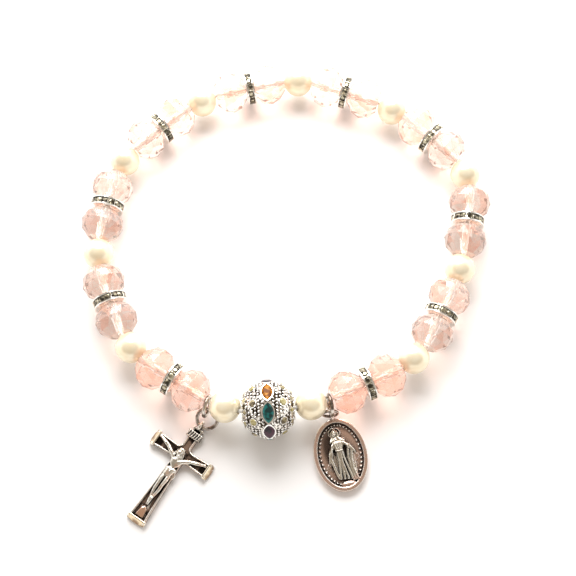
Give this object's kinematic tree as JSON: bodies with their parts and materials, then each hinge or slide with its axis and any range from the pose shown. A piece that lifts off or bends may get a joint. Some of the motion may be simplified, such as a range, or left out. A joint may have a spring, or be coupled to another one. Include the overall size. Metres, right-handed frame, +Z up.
{
  "type": "rosary bracelet",
  "caption": "Elastic rosary bracelet of pink faceted rondelles, cream pearls and stone-set spacers, with a jewelled ball, a crucifix and an oval medal on jump rings.",
  "frame": {"origin": "middle of the wrist opening, on the surface the bracelet lies on", "axes": "+Z up from that surface along the wrist opening; +Y away from the charms; -Y towards the jewelled ball, the crucifix and the medal; +X to the medal's side"},
  "size_m": [0.0776, 0.0898, 0.0108],
  "materials": {
    "crystal": "transparent pale pink faceted crystal",
    "pearl": "cream pearl lacquer",
    "bright_silver": "bright silver plate",
    "clear_stone": "clear foiled stone",
    "coloured_stone": "deep coloured foiled stones: green, amethyst and amber",
    "pale_stone": "pale yellow and clear foiled stones",
    "elastic": "white elastic thread",
    "ring_steel": "darkened steel wire",
    "antique_silver": "antiqued silver, dark in the recesses and bright on the relief"
  },
  "bodies": {
    "root": {"rondelle_01": "crystal", "rondelle_02": "crystal", "rondelle_03": "crystal", "rondelle_04": "crystal", "rondelle_05": "crystal", "rondelle_06": "crystal", "rondelle_07": "crystal", "rondelle_08": "crystal", "rondelle_09": "crystal", "rondelle_10": "crystal", "rondelle_11": "crystal", "rondelle_12": "crystal", "rondelle_13": "crystal", "rondelle_14": "crystal", "rondelle_15": "crystal", "rondelle_16": "crystal", "rondelle_17": "crystal", "rondelle_18": "crystal", "rondelle_19": "crystal", "rondelle_20": "crystal", "pearl_01": "pearl", "pearl_02": "pearl", "pearl_03": "pearl", "pearl_04": "pearl", "pearl_05": "pearl", "pearl_06": "pearl", "pearl_07": "pearl", "pearl_08": "pearl", "pearl_09": "pearl", "pearl_10": "pearl", "pearl_11": "pearl", "spacer_01": "bright_silver", "spacer_02": "bright_silver", "spacer_03": "bright_silver", "spacer_04": "bright_silver", "spacer_05": "bright_silver", "spacer_06": "bright_silver", "spacer_07": "bright_silver", "spacer_08": "bright_silver", "spacer_09": "bright_silver", "spacer_10": "bright_silver", "spacer_stones_left": "clear_stone", "spacer_stones_right": "clear_stone", "accent_ball": "bright_silver", "marquise_stones": "coloured_stone", "round_stones": "pale_stone", "thread": "elastic", "crucifix_cord_ring": "ring_steel", "crucifix_ring": "ring_steel", "crucifix": "antique_silver", "medal_cord_ring": "ring_steel", "medal_ring": "ring_steel", "medal": "antique_silver"}
  },
  "joints": []
}
